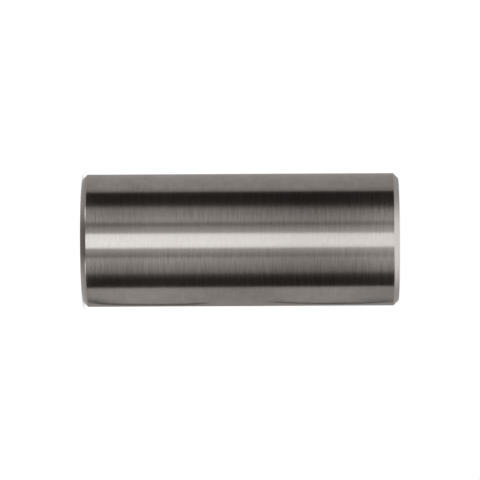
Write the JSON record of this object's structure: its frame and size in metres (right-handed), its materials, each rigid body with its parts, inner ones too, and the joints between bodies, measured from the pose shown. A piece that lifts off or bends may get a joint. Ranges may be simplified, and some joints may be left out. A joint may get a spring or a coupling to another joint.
{
  "type": "piston pin",
  "caption": "Hollow ground steel piston pin with chamfered ends and a plain through bore, which joins a piston to the small end of its connecting rod.",
  "frame": {"origin": "centre of the lower end face, on the surface that the pin stands on", "axes": "+Z along the pin's axis, from the lower end face to the upper one"},
  "size_m": [0.021, 0.021, 0.05],
  "materials": {
    "ground_steel": "finely ground around the pin, bright satin"
  },
  "bodies": {
    "root": {"piston_pin": "ground_steel"}
  },
  "joints": []
}
